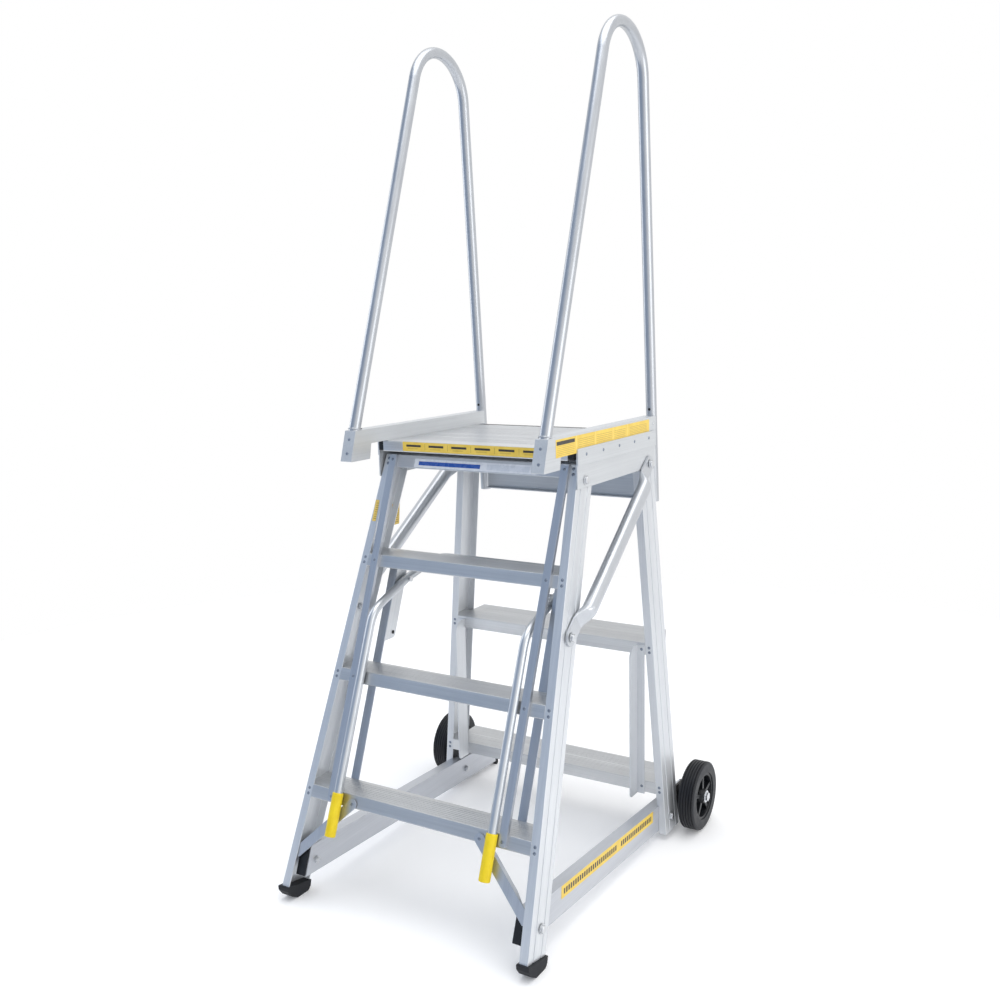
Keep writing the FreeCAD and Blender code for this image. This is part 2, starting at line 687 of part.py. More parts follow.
def side_beam():
    # Side plate with a thicker band along the deck edge
    front = SIDE_BEAM_FRONT_Y
    rear = SIDE_BEAM_REAR_Y
    x = SIDE_BEAM_X
    outline = [(front, SIDE_BEAM_FOOT_Z), (front, DECK_TOP_Z), (rear, DECK_TOP_Z), (rear, SIDE_BEAM_FOOT_Z)]
    web = side_profile(outline, x, x + SIDE_BEAM_THICK, [3, 4, 4, 3])
    outline = [(front, SIDE_BAND_Z), (front, DECK_TOP_Z), (rear, DECK_TOP_Z), (rear, SIDE_BAND_Z)]
    band = side_profile(outline, x + 1, x + SIDE_BEAM_THICK + SIDE_BAND_THICK, [0, 4, 4, 0])
    beam = web.fuse(band).removeSplitter()
    for y, z in (BEAM_BOLT, BRACE_HIGH[1:]):
        beam = beam.cut(rod_x(BOLT_RADIUS + HOLE_GAP, CUT_LOW_X, CUT_HIGH_X, y, z))
    return beam


def handrail_channel():
    # Inverted channel along the deck edge; its front end hangs down ahead of the deck
    top = CHANNEL_TOP_Z
    foot = CHANNEL_FOOT_Z
    rear = CHANNEL_REAR_Y
    low_front, high_front = CHANNEL_FRONT_Y
    low_neck, high_neck = CHANNEL_NECK_Y
    outline = [(low_front, foot), (high_front, top), (rear, top),
               (rear, DECK_TOP_Z), (high_neck, DECK_TOP_Z), (low_neck, foot)]
    shell = side_profile(outline, CHANNEL_IN_X, CHANNEL_OUT_X, [2, 3, 2, 2, 4, 2])
    wall = CHANNEL_WALL
    hollow = [(low_front + wall * 0.6, foot - 5), (high_front + wall, top - wall),
              (rear + 5, top - wall), (rear + 5, foot - 5)]
    shell = shell.cut(side_profile(hollow, CHANNEL_IN_X + wall, CHANNEL_OUT_X - wall))
    return shell.cut(rear_leg(HOOP_RADIUS + 0.3))


def rear_leg_y(z):
    return HOOP_REAR_Y + HOOP_REAR_LEAN * (z - CHANNEL_TOP_Z)


def rear_leg(radius):
    # Straight lower run of a hoop's rear leg, as a full rod
    low = V(HOOP_X, rear_leg_y(HOOP_REAR_FOOT_Z), HOOP_REAR_FOOT_Z)
    high = V(HOOP_X, rear_leg_y(CHANNEL_TOP_Z + 40), CHANNEL_TOP_Z + 40)
    return Part.makeCylinder(radius, (high - low).Length, low, high - low)


def handrail_hoop():
    base = CHANNEL_TOP_Z
    drop = 30.0
    below = HOOP_REAR_FOOT_Z - 10
    front = V(HOOP_X, HOOP_FRONT_Y - HOOP_FRONT_LEAN * drop, base - drop)
    rear = V(HOOP_X, rear_leg_y(below), below)
    apex_z = base + (HOOP_REAR_Y - HOOP_FRONT_Y) / (HOOP_FRONT_LEAN - HOOP_REAR_LEAN)
    apex = V(HOOP_X, HOOP_FRONT_Y + HOOP_FRONT_LEAN * (apex_z - base), apex_z)
    hoop = tube([front, apex, rear], [HOOP_BEND], HOOP_RADIUS, HOOP_RADIUS - HOOP_WALL)
    middle_y = (HOOP_FRONT_Y + HOOP_REAR_Y) / 2
    hoop = hoop.cut(block(CUT_LOW_X, CUT_HIGH_X, 0, middle_y, 0, base))
    return hoop.cut(block(CUT_LOW_X, CUT_HIGH_X, middle_y, 2 * middle_y, 0, HOOP_REAR_FOOT_Z))


def rear_skirt():
    # Panel under the deck's back edge with a flange along its top and a lip at its foot
    top = SKIRT_TOP_Z
    foot = SKIRT_FOOT_Z
    y = SKIRT_Y
    flange_y = y - SKIRT_FLANGE
    outline = [(y, foot), (y + 3, foot), (y + 3, top), (flange_y, top), (flange_y, top - 3), (y, top - 3)]
    skirt = side_profile(outline, -SKIRT_HALF, SKIRT_HALF, [0, 1.5, 2, 0, 0, 1])
    lip = block(-SKIRT_HALF, SKIRT_HALF, y - 11, y + 1, foot, foot + 3)
    return skirt.fuse(lip).removeSplitter()


def skirt_brackets():
    # Plate from the rear stile to the skirt, and a saddle between the stile and the hoop's leg
    y = REAR_FACE_Y + REAR_DEPTH
    strap = block(SKIRT_HALF - 12, SIDE_BEAM_X - 3, y + 0.3, SKIRT_Y - 0.3, STRAP_Z[0], STRAP_Z[1])
    low, high = SADDLE_Z
    saddle = block(HOOP_X - 7, HOOP_X + 9, y + 0.3, rear_leg_y((low + high) / 2), low, high)
    saddle = saddle.cut(rear_leg(HOOP_RADIUS + 0.05))
    return [strap, max(saddle.Solids, key=lambda part: part.Volume)]


def tyre():
    # Solid rubber tyre with circumferential grooves
    x0 = TYRE_IN_X
    x1 = TYRE_IN_X + TYRE_WIDTH
    r = WHEEL_RADIUS
    points = [(x0, RIM_RADIUS), (x0, r - 6)]
    radii = [2, 5]
    for i in range(5):
        start = x0 + 7.5 + i * 8
        points += [(start, r), (start + 0.6, r - 2.5), (start + 2.4, r - 2.5), (start + 3.0, r)]
        radii += [0, 0, 0, 0]
    points.insert(2, (x0 + 4, r))
    radii.insert(2, 2)
    points += [(x1 - 4, r), (x1, r - 6), (x1, RIM_RADIUS)]
    radii += [2, 5, 2]
    placed = [V(x, 0, radius) for x, radius in points]
    ring = Part.Face(rounded_wire(placed, radii)).revolve(V(0, 0, 0), V(1, 0, 0), 360)
    ring.translate(V(0, WHEEL_Y, WHEEL_Z))
    return ring


def wheel_hub():
    # Spoked plastic hub with a long centre boss
    x0 = TYRE_IN_X
    x1 = TYRE_IN_X + TYRE_WIDTH
    rim_outline = [(x0 + 3, RIM_RADIUS), (x1 - 3, RIM_RADIUS), (x1 - 3, RIM_RADIUS - 7),
                   (x1 - 18, RIM_RADIUS - 10), (x0 + 18, RIM_RADIUS - 10), (x0 + 3, RIM_RADIUS - 7)]
    rim = Part.Face(rounded_wire([V(x, 0, r) for x, r in rim_outline], [0, 0, 1, 2, 2, 1]))
    hub = rim.revolve(V(0, 0, 0), V(1, 0, 0), 360)
    boss_outline = [(x0 + 1, 0), (x1 + 1, 0), (x1 + 1, 19), (x1 - 12, 23), (x0 + 12, 23), (x0 + 1, 19)]
    boss = Part.Face(rounded_wire([V(x, 0, r) for x, r in boss_outline], [0, 0, 2, 3, 3, 2]))
    hub = hub.fuse(boss.revolve(V(0, 0, 0), V(1, 0, 0), 360))
    web = rod_x(RIM_RADIUS - 5, x0 + 22, x0 + 27, 0, 0)
    hub = hub.fuse(web)
    for i in range(SPOKES):
        spoke = block(x0 + 12, x1 - 6, -5, 5, 15, RIM_RADIUS - 5)
        spoke.rotate(V(0, 0, 0), V(1, 0, 0), 360 / SPOKES * i)
        hub = hub.fuse(spoke)
    hub = hub.cut(rod_x(AXLE_RADIUS + RUNNING_GAP, x0 - 5, x1 + 5, 0, 0))
    hub = hub.removeSplitter()
    hub.translate(V(0, WHEEL_Y, WHEEL_Z))
    return max(hub.Solids, key=lambda part: part.Volume)


def wheel_bracket():
    # Black plate on the base rail with a sleeve that stands the wheel off it
    x0 = BRACKET_PLATE_X
    x1 = x0 + BRACKET_PLATE_THICK
    front, rear = WHEEL_Y - 31, WHEEL_Y + 37
    low, high = BRACKET_PLATE_Z
    outline = [(front, low), (front, high), (rear, high), (rear, low)]
    plate_part = side_profile(outline, x0, x1, [6, 6, 6, 6])
    sleeve = rod_x(BRACKET_SLEEVE_RADIUS, x0, TYRE_IN_X - 0.5, WHEEL_Y, WHEEL_Z)
    rib = block(x0, x1 + 16, WHEEL_Y - 4, WHEEL_Y + 4, low + 6, WHEEL_Z)
    bracket = plate_part.fuse(sleeve).fuse(rib).removeSplitter()
    return bracket.cut(rod_x(AXLE_RADIUS, x0 + 2, TYRE_IN_X + 5, WHEEL_Y, WHEEL_Z))


def axle_bolt():
    # Bolt screwed into the bracket's sleeve, with a washer and a hexagon head
    outer = TYRE_IN_X + TYRE_WIDTH + 1
    shaft = rod_x(AXLE_RADIUS, BRACKET_PLATE_X + 2.3, outer + 5, WHEEL_Y, WHEEL_Z)
    washer = rod_x(AXLE_WASHER_RADIUS, outer + 0.4, outer + 3, WHEEL_Y, WHEEL_Z)
    head = hexagon_x(AXLE_HEAD_FLATS, outer + 3, outer + 9, WHEEL_Y, WHEEL_Z)
    return shaft.fuse([washer, head]).removeSplitter()


def handle_points():
    arm = [(HANDLE_FOOT[0], HANDLE_FOOT[1]), HANDLE_KNEE, HANDLE_PIVOT, HANDLE_CROSS]
    left = [V(-HANDLE_X, y, z) for y, z in arm]
    right = [V(HANDLE_X, y, z) for y, z in reversed(arm)]
    return left + right


def carry_handle():
    # One bent tube: two arms joined by a cross run behind the top tread
    bends = [75.0, 260.0, 38.0, 38.0, 260.0, 75.0]
    handle = tube(handle_points(), bends, HANDLE_RADIUS, HANDLE_RADIUS - HANDLE_WALL)
    y, z = pivot_point()
    return handle.cut(rod_x(PIVOT_RADIUS + RUNNING_GAP, -260, 260, y, z))


def pivot_point():
    # The arm's bend pulls its centre line slightly under the corner point
    return HANDLE_PIVOT[0], HANDLE_PIVOT[1] - 0.7


def grip():
    # Moulded sleeve over the lower end of an arm
    low = V(HANDLE_X, HANDLE_FOOT[0], HANDLE_FOOT[1])
    knee = V(HANDLE_X, HANDLE_KNEE[0], HANDLE_KNEE[1])
    along = (knee - low).normalize()
    start = low - along * 3
    sleeve = Part.makeCylinder(GRIP_RADIUS, GRIP_LENGTH, start, along)
    rounded = [edge for edge in sleeve.Edges if edge.Curve.TypeId == "Part::GeomCircle"]
    sleeve = sleeve.makeFillet(3, rounded)
    return sleeve.cut(Part.makeCylinder(HANDLE_RADIUS, GRIP_LENGTH, low, along))


def bracket_hole():
    # Y and Z of the plugged hole in the handle's hanger
    return front_y(BRACKET_HOLE_Z, BRACKET_HOLE_BEHIND), BRACKET_HOLE_Z


def handle_bracket():
    # Angle behind the strap that carries the handle's pivot
    low_y = front_y(BRACKET_FOOT_Z)
    high_y = front_y(BRACKET_TOP_Z)
    back = TREAD_DEPTH + STRAP_THICK / FRONT_UP.z
    x0 = STRAP_X - STRAP_WIDTH / 2
    outline = [(low_y + back, BRACKET_FOOT_Z), (high_y + back, BRACKET_TOP_Z),
               (high_y + BRACKET_DEPTH, BRACKET_TOP_Z), (low_y + BRACKET_DEPTH, BRACKET_FOOT_Z)]
    side = side_profile(outline, x0, x0 + 3, [2, 2, 12, 14])
    face_outline = [(low_y + back, BRACKET_FOOT_Z), (high_y + back, BRACKET_TOP_Z),
                    (high_y + back + 3.3, BRACKET_TOP_Z), (low_y + back + 3.3, BRACKET_FOOT_Z)]
    face = side_profile(face_outline, x0, x0 + STRAP_WIDTH)
    bracket = side.fuse(face).removeSplitter()
    y, z = pivot_point()
    bracket = bracket.cut(rod_x(PIVOT_RADIUS, x0 - 5, x0 + 10, y, z))
    y, z = bracket_hole()
    return bracket.cut(rod_x(PLUG_RADIUS, x0 - 5, x0 + 10, y, z))


def handle_pivot():
    y, z = pivot_point()
    x0 = STRAP_X - STRAP_WIDTH / 2
    inner = HANDLE_X - HANDLE_RADIUS
    shank = rod_x(PIVOT_RADIUS, inner - 5, x0 + 12, y, z)
    head = rod_x(7, inner - 5, inner - 0.5, y, z)
    nut = hexagon_x(13, x0 + 3, x0 + 10, y, z)
    return shank.fuse([head, nut]).removeSplitter()


def bracket_plug():
    x0 = STRAP_X - STRAP_WIDTH / 2
    y, z = bracket_hole()
    stem = rod_x(PLUG_RADIUS, x0, x0 + 3, y, z)
    return stem.fuse(rod_x(PLUG_RADIUS + 1.2, x0 - 1.5, x0, y, z)).removeSplitter()


def cross_bolt(y, z, inner, outer, sleeve=None, with_nut=True):
    # Bolt along X with a nut inside and a round head over a washer outside
    shank = rod_x(BOLT_RADIUS, inner - NUT_THICK - 2, outer + 2, y, z)
    nut = hexagon_x(NUT_FLATS, inner - NUT_THICK, inner, y, z) if with_nut else shank
    washer = rod_x(12, outer, outer + 2, y, z)
    head = rod_x(9.5, outer + 2, outer + 8, y, z)
    head = head.makeFillet(2.5, [edge for edge in head.Edges if edge.BoundBox.XMin > outer + 7.9])
    bolt = shank.fuse([nut, washer, head])
    if sleeve is not None:
        bolt = bolt.fuse(rod_x(SPACER_RADIUS, sleeve[0], sleeve[1], y, z))
    return bolt.removeSplitter()


def frame_bolts():
    # Bolts of the base rails, the diagonal braces and the side beams
    bolts = []
    for (y, z), web_x in ((RAIL_BOLT_FRONT, front_web_x), (RAIL_BOLT_REAR, rear_web_x)):
        inner, outer = rail_faces(y)
        web = web_x(z)
        bolts.append(cross_bolt(y, z, inner - 0.4, web + SEAT_GAP, (outer + 0.4, web - STILE_WALL - SEAT_GAP)))
    for point, web in ((BRACE_LOW, front_web_x(BRACE_LOW[2])), (BRACE_HIGH, rear_web_x(BRACE_HIGH[2]))):
        x, y, z = point
        bolts.append(cross_bolt(y, z, web - STILE_WALL - SEAT_GAP, x + BRACE_FLAT_THICK / 2 + SEAT_GAP))
    y, z = BEAM_BOLT
    inner = front_web_x(z) - STILE_WALL - SEAT_GAP
    bolts.append(cross_bolt(y, z, inner, SIDE_BEAM_X + SIDE_BEAM_THICK + 0.3, with_nut=False))
    return bolts


def frame_rivets():
    rivets = []
    pair = (-RIVET_PITCH / 2, RIVET_PITCH / 2)
    # through the front flanges of the front stiles
    for centre in [top - 16 for top in TREAD_TOPS] + [BEAM_TOP_Z - 17]:
        for step in pair:
            z = centre + step
            rivets.append(dome(V(front_web_x(z) - FLANGE_RIVET_INSET, front_y(z), z), FRONT_NORMAL))
    # tie strips
    for top in TREAD_TOPS + (BEAM_TOP_Z,):
        z = top - STRIP_RIVET_DROP
        point = V(STRIP_X + STRIP_DRIFT * z, front_y(z), z) + FRONT_NORMAL * STRIP_DEPTH
        rivets.append(dome(point, FRONT_NORMAL))
    # upper ends of the knee braces
    top, along, upper, normal, length = knee_frame()
    rivets.append(dome(top + normal * KNEE_THICK, normal))
    # front flanges of the rear stiles
    for centre in [tread[0] - 20 for tread in REAR_TREADS]:
        for step in pair:
            z = centre + step
            rivets.append(dome(V(rear_web_x(z) - FLANGE_RIVET_INSET, REAR_FACE_Y, z), V(0, -1, 0)))
    # rear tie angles
    for z in (TIE_TOP_Z - 12, TIE_FOOT_Z + 22):
        rivets.append(dome(V(TIE_X + 13, REAR_FACE_Y - 3, z), V(0, -1, 0)))
    # side beams into the deck planks
    face = SIDE_BEAM_X + SIDE_BEAM_THICK + SIDE_BAND_THICK
    for share in range(5):
        y = BAND_RIVET_Y + share * BAND_RIVET_PITCH
        rivets.append(dome(V(face, y, BAND_RIVET_Z), V(1, 0, 0)))
    # handrail channel's slanted front
    low_y, high_y = CHANNEL_FRONT_Y
    rise = CHANNEL_TOP_Z - CHANNEL_FOOT_Z
    slope = V(0, -rise, high_y - low_y).normalize()
    for share in (0.27, 0.72):
        y = low_y + (high_y - low_y) * share
        z = CHANNEL_FOOT_Z + rise * share
        rivets.append(dome(V(HOOP_X, y, z), slope))
    return rivets


def export(name, shape):
    moved = shape.copy()
    moved.translate(V(0, -CENTRE_Y, 0))
    moved.exportStep(os.path.join("parts", name + ".step"))


def export_pair(name, right):
    export(name + "_right", right)
    export(name + "_left", mirrored(right))


def export_group(name, right_solids):
    solids = list(right_solids) + [mirrored(solid) for solid in right_solids]
    export(name, Part.makeCompound(solids))


def main():
    os.makedirs("parts", exist_ok=True)
    stile = front_stile()
    stiles = (stile, mirrored(stile))
    export_pair("front_stile", stile)
    export_pair("front_foot", front_foot(stile))
    for i, top in enumerate(TREAD_TOPS):
        export("front_tread_%d" % (i + 1), front_tread(top, TREAD_HEIGHT, stiles))
    export("front_cross_beam", front_tread(BEAM_TOP_Z, BEAM_HEIGHT, stiles))
    export_pair("tie_strip", tie_strip())
    export_pair("rear_strap", rear_strap())
    export_pair("knee_brace", knee_brace())
    export_pair("base_rail", base_rail())
    export_group("rail_end_plugs", rail_end_plugs())
    export_group("rear_pads", [rear_pad()])
    back = rear_stile()
    backs = (back, mirrored(back))
    export_pair("rear_stile", back)
    for name, (top, front_depth, back_depth) in zip(("upper", "lower"), REAR_TREADS):
        front_plank, back_plank = rear_tread(top, front_depth, back_depth, backs)
        export("rear_tread_%s_front" % name, front_plank)
        export("rear_tread_%s_back" % name, back_plank)
    export_pair("rear_tie", rear_tie())
    export_pair("diagonal_brace", diagonal_brace())
    for i, board in enumerate(deck_planks()):
        export("deck_plank_%d" % (i + 1), board)
    export("deck_nosing", nosing())
    export_group("nosing_caps", [nosing_cap()])
    export_pair("side_beam", side_beam())
    export_pair("handrail_channel", handrail_channel())
    export_pair("handrail_hoop", handrail_hoop())
    export("rear_skirt", rear_skirt())
    export_group("skirt_brackets", skirt_brackets())
    export_pair("wheel_tyre", tyre())
    export_pair("wheel_hub", wheel_hub())
    export_pair("wheel_bracket", wheel_bracket())
    export_pair("axle_bolt", axle_bolt())
    export("carry_handle", carry_handle())
    export_pair("handle_grip", grip())
    export_pair("handle_bracket", handle_bracket())
    export_group("handle_pivots", [handle_pivot()])
    export_group("bracket_plugs", [bracket_plug()])
    export_group("frame_bolts", frame_bolts())
    export_group("frame_rivets", frame_rivets())


main()
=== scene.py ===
import math
import random

import bmesh
import bpy
from mathutils import Matrix, Vector


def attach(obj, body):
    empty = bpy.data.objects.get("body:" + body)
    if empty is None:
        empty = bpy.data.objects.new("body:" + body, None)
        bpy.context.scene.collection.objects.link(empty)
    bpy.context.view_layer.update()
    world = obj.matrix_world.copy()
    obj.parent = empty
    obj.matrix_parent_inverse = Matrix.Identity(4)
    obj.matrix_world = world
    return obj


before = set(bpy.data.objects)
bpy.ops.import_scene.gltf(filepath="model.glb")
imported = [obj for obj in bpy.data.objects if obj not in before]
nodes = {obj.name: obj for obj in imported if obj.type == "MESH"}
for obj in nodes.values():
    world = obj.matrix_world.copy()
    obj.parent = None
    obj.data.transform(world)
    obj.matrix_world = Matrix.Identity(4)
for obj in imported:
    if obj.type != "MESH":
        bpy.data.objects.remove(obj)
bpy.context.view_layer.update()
scene = bpy.context.scene
rng = random.Random(7)

# Dimensions shared with the CAD, in millimetres, with Y counted from the toe line
CENTRE_Y = 514.3
STILE_LEAN = 0.386          # rearward run of the front frame per unit of height
STILE_FLARE = 0.068         # inward run of each front stile per unit of height
STILE_OUT_X = 365.0         # outer face of a front stile at floor level
STILE_WALL = 3.0
BEAM_LABEL_Z = 1079.5
RAIL_OUT_X = 346.1          # outer face of a base rail at RAIL_LEVEL_Y
RAIL_SPLAY = 0.0186         # outward run per unit of length
RAIL_SLOPE = -0.0529        # rise per unit of length
RAIL_LEVEL_Y = 500.0
RAIL_LEVEL_Z = 40.5         # underside of the rail at RAIL_LEVEL_Y
RAIL_HEIGHT = 73.7
CHANNEL_OUT_X = 296.0
CHANNEL_TOP_Z = 1188.0
HOOP_X = 279.0
HOOP_FRONT_Y = 283.4        # front leg of a hoop at the top of its channel
HOOP_FRONT_LEAN = 0.345
HOOP_REAR_Y = 894.5
HOOP_RADIUS = 15.0

# ---------------------------------------------------------------- node helpers

LEAN_UP = Vector((0.0, STILE_LEAN, 1.0)).normalized()
X_AXIS, Y_AXIS, Z_AXIS = (1, 0, 0), (0, 1, 0), (0, 0, 1)
BEVEL_SAMPLES = 4


def new_material(name):
    mat = bpy.data.materials.new(name)
    mat.use_nodes = True
    tree = mat.node_tree
    tree.nodes.clear()
    out = tree.nodes.new("ShaderNodeOutputMaterial")
    shader = tree.nodes.new("ShaderNodeBsdfPrincipled")
    tree.links.new(shader.outputs[0], out.inputs[0])
    return mat, tree, shader


def ramp(tree, value, stops):
    node = tree.nodes.new("ShaderNodeValToRGB")
    tree.links.new(value, node.inputs[0])
    elements = node.color_ramp.elements
    while len(elements) < len(stops):
        elements.new(0.5)
    for element, (position, colour) in zip(elements, stops):
        element.position = position
        element.color = (*colour, 1.0)
    return node.outputs[0]


def remap(tree, value, low, high, start, stop):
    # Values from start to stop become values from low to high
    node = tree.nodes.new("ShaderNodeMapRange")
    tree.links.new(value, node.inputs[0])
    for socket, number in zip(node.inputs[1:5], (start, stop, low, high)):
        socket.default_value = number
    return node.outputs[0]


def noise(tree, vector, scale, detail=3.0, rough=0.55):
    node = tree.nodes.new("ShaderNodeTexNoise")
    tree.links.new(vector, node.inputs["Vector"])
    node.inputs["Scale"].default_value = scale
    node.inputs["Detail"].default_value = detail
    node.inputs["Roughness"].default_value = rough
    return node.outputs[0]


def maths(tree, kind, a, b):
    node = tree.nodes.new("ShaderNodeMath")
    node.operation = kind
    for socket, value in zip(node.inputs, (a, b)):
        if isinstance(value, (int, float)):
            socket.default_value = value
        else:
            tree.links.new(value, socket)
    return node.outputs[0]


def object_coordinates(tree):
    return tree.nodes.new("ShaderNodeTexCoord").outputs["Object"]


def aligned(tree, axis, stretch):
    # Object coordinates turned so that Z runs along axis, then squeezed along it
    coords = object_coordinates(tree)
    turn = tree.nodes.new("ShaderNodeMapping")
    turn.vector_type = "POINT"
    rotation = Vector(axis).rotation_difference(Vector(Z_AXIS))
    turn.inputs["Rotation"].default_value = rotation.to_euler()
    tree.links.new(coords, turn.inputs["Vector"])
    squeeze = tree.nodes.new("ShaderNodeMapping")
    squeeze.inputs["Scale"].default_value = (1.0, 1.0, stretch)
    tree.links.new(turn.outputs[0], squeeze.inputs["Vector"])
    return squeeze.outputs[0]


def soft_edge(tree, radius):
    node = tree.nodes.new("ShaderNodeBevel")
    node.samples = BEVEL_SAMPLES
    node.inputs["Radius"].default_value = radius
    return node.outputs[0]


def bump(tree, shader, height, strength, distance, below=None):
    node = tree.nodes.new("ShaderNodeBump")
    node.inputs["Strength"].default_value = strength
    node.inputs["Distance"].default_value = distance
    tree.links.new(height, node.inputs["Height"])
    if below is not None:
        tree.links.new(below, node.inputs["Normal"])
    tree.links.new(node.outputs[0], shader.inputs["Normal"])


def inside(tree, value, low, high):
    above = maths(tree, "GREATER_THAN", value, low)
    below = maths(tree, "LESS_THAN", value, high)
    return maths(tree, "MULTIPLY", above, below)


def stripes(tree, value, pitch, share):
    turns = maths(tree, "FRACT", maths(tree, "DIVIDE", value, pitch), 0.0)
    return maths(tree, "LESS_THAN", turns, share)


def layer(tree, below, colour, mask):
    node = tree.nodes.new("ShaderNodeMix")
    node.data_type = "RGBA"
    tree.links.new(mask, node.inputs[0])
    tree.links.new(below, node.inputs[6])
    node.inputs[7].default_value = (*colour, 1.0)
    return node.outputs[2]


# ---------------------------------------------------------------- materials

SCUFF_TILT = Vector((0.35, 0.5, -0.2))      # scuffs run a little across the drawing lines
LINE_DEPTH = 0.00012
GRIT_DEPTH = 0.0003
RUBBER_EDGE = 0.001


def metal(name, dark, light, axis, rough=(0.28, 0.44), streak=260.0, stretch=0.012, edge=0.0007,
          bump_strength=0.25, metallic=1.0):
    # Drawn or extruded metal: fine lines along its length, soft blotches and a few scuffs
    mat, tree, shader = new_material(name)
    lines = aligned(tree, axis, stretch)
    fine = noise(tree, lines, streak, 4.0, 0.6)
    broad = noise(tree, lines, streak * 0.12, 2.0, 0.5)
    cloud = noise(tree, object_coordinates(tree), 5.5, 4.0, 0.6)
    scuff = noise(tree, aligned(tree, Vector(axis) + SCUFF_TILT, 0.06), 120.0, 5.0, 0.7)
    fine_part = maths(tree, "MULTIPLY", fine, 0.45)
    broad_part = maths(tree, "MULTIPLY", broad, 0.35)
    cloud_part = maths(tree, "MULTIPLY", cloud, 0.20)
    tone = maths(tree, "ADD", maths(tree, "ADD", fine_part, broad_part), cloud_part)
    tree.links.new(ramp(tree, tone, [(0.30, dark), (0.72, light)]), shader.inputs["Base Color"])
    shader.inputs["Metallic"].default_value = metallic
    tone_gloss = maths(tree, "MULTIPLY", tone, 0.6)
    scuff_gloss = maths(tree, "MULTIPLY", scuff, 0.4)
    gloss = maths(tree, "ADD", tone_gloss, scuff_gloss)
    tree.links.new(remap(tree, gloss, *rough, 0.3, 0.72), shader.inputs["Roughness"])
    # An edge of 0 leaves the rounding out, as on the round tubes
    rounded = soft_edge(tree, edge) if edge else None
    bump(tree, shader, fine, bump_strength, LINE_DEPTH, rounded)
    return mat


def rubber(name, dark, light, rough=(0.55, 0.8), grain=900.0, strength=0.35):
    # Rubber, moulded plastic or paint: fine grit under soft patches of dust
    mat, tree, shader = new_material(name)
    coords = object_coordinates(tree)
    grit = noise(tree, coords, grain, 3.0, 0.6)
    shader.inputs["Specular IOR Level"].default_value = 0.38
    dust = noise(tree, coords, 26.0, 5.0, 0.65)
    tree.links.new(ramp(tree, dust, [(0.35, dark), (0.75, light)]), shader.inputs["Base Color"])
    tree.links.new(remap(tree, dust, *rough, 0.3, 0.7), shader.inputs["Roughness"])
    bump(tree, shader, grit, strength, GRIT_DEPTH, soft_edge(tree, RUBBER_EDGE))
    return mat


def printed(name, dark, light, marks, rough=(0.32, 0.5)):
    # Printed film. Each mark is (colour, (left, right, bottom, top), lines) in metres on the label,
    # and lines is None for a solid field, or ("u" or "v", pitch, share) for bars along that axis
    mat, tree, shader = new_material(name)
    coords = object_coordinates(tree)
    split = tree.nodes.new("ShaderNodeSeparateXYZ")
    tree.links.new(coords, split.inputs[0])
    along = {"u": split.outputs[0], "v": split.outputs[1]}
    worn = noise(tree, coords, 38.0, 4.0, 0.6)
    colour = ramp(tree, worn, [(0.3, dark), (0.7, light)])
    for tint, (left, right, bottom, top), lines in marks:
        columns = inside(tree, along["u"], left, right)
        rows = inside(tree, along["v"], bottom, top)
        mask = maths(tree, "MULTIPLY", columns, rows)
        if lines:
            axis, pitch, share = lines
            mask = maths(tree, "MULTIPLY", mask, stripes(tree, along[axis], pitch, share))
        colour = layer(tree, colour, tint, mask)
    tree.links.new(colour, shader.inputs["Base Color"])
    tree.links.new(remap(tree, worn, *rough, 0.3, 0.7), shader.inputs["Roughness"])
    grain = noise(tree, coords, 700.0, 2.0, 0.5)
    bump(tree, shader, grain, 0.1, 0.0001)
    return mat


SOFT = dict(rough=(0.34, 0.44), bump_strength=0.08, metallic=0.62)
TUBE = dict(rough=(0.27, 0.34), streak=30.0, stretch=0.5, bump_strength=0.02, edge=0, metallic=0.9)
BRACE_DIRECTION = (0, 0.83, 0.555)

stile_metal = metal("stile_metal", (0.61, 0.63, 0.66), (0.75, 0.77, 0.79), LEAN_UP,
                    rough=(0.32, 0.42), bump_strength=0.08, metallic=0.74)
strip_metal = metal("strip_metal", (0.44, 0.47, 0.52), (0.58, 0.61, 0.66), LEAN_UP,
                    rough=(0.30, 0.42), bump_strength=0.08, metallic=0.88)
upright_metal = metal("upright_metal", (0.56, 0.58, 0.61), (0.69, 0.71, 0.735), Z_AXIS,
                      rough=(0.36, 0.46), bump_strength=0.08, metallic=0.42)
along_metal = metal("along_metal", (0.53, 0.55, 0.57), (0.65, 0.67, 0.69), Y_AXIS,
                    rough=(0.36, 0.46), bump_strength=0.08, metallic=0.5)
rail_metal = metal("rail_metal", (0.48, 0.50, 0.54), (0.60, 0.62, 0.66), Y_AXIS, **SOFT)
tread_metal = metal("tread_metal", (0.53, 0.54, 0.55), (0.71, 0.72, 0.73), X_AXIS,
                    rough=(0.34, 0.48), bump_strength=0.16)
deck_metal = metal("deck_metal", (0.54, 0.55, 0.56), (0.76, 0.77, 0.78), X_AXIS,
                   rough=(0.34, 0.46), bump_strength=0.12)
beam_metal = metal("beam_metal", (0.50, 0.52, 0.55), (0.62, 0.64, 0.67), X_AXIS, **SOFT)
skirt_metal = metal("skirt_metal", (0.48, 0.51, 0.55), (0.62, 0.65, 0.68), X_AXIS, **SOFT)
tube_metal = metal("tube_metal", (0.45, 0.47, 0.50), (0.54, 0.56, 0.59), Z_AXIS, **TUBE)
handle_metal = metal("handle_metal", (0.54, 0.57, 0.60), (0.64, 0.66, 0.69), LEAN_UP, **TUBE)
brace_metal = metal("brace_metal", (0.50, 0.52, 0.55), (0.60, 0.62, 0.65), BRACE_DIRECTION, **TUBE)
zinc = metal("zinc", (0.50, 0.52, 0.55), (0.76, 0.77, 0.78), X_AXIS,
             rough=(0.22, 0.36), streak=500.0, stretch=0.5)
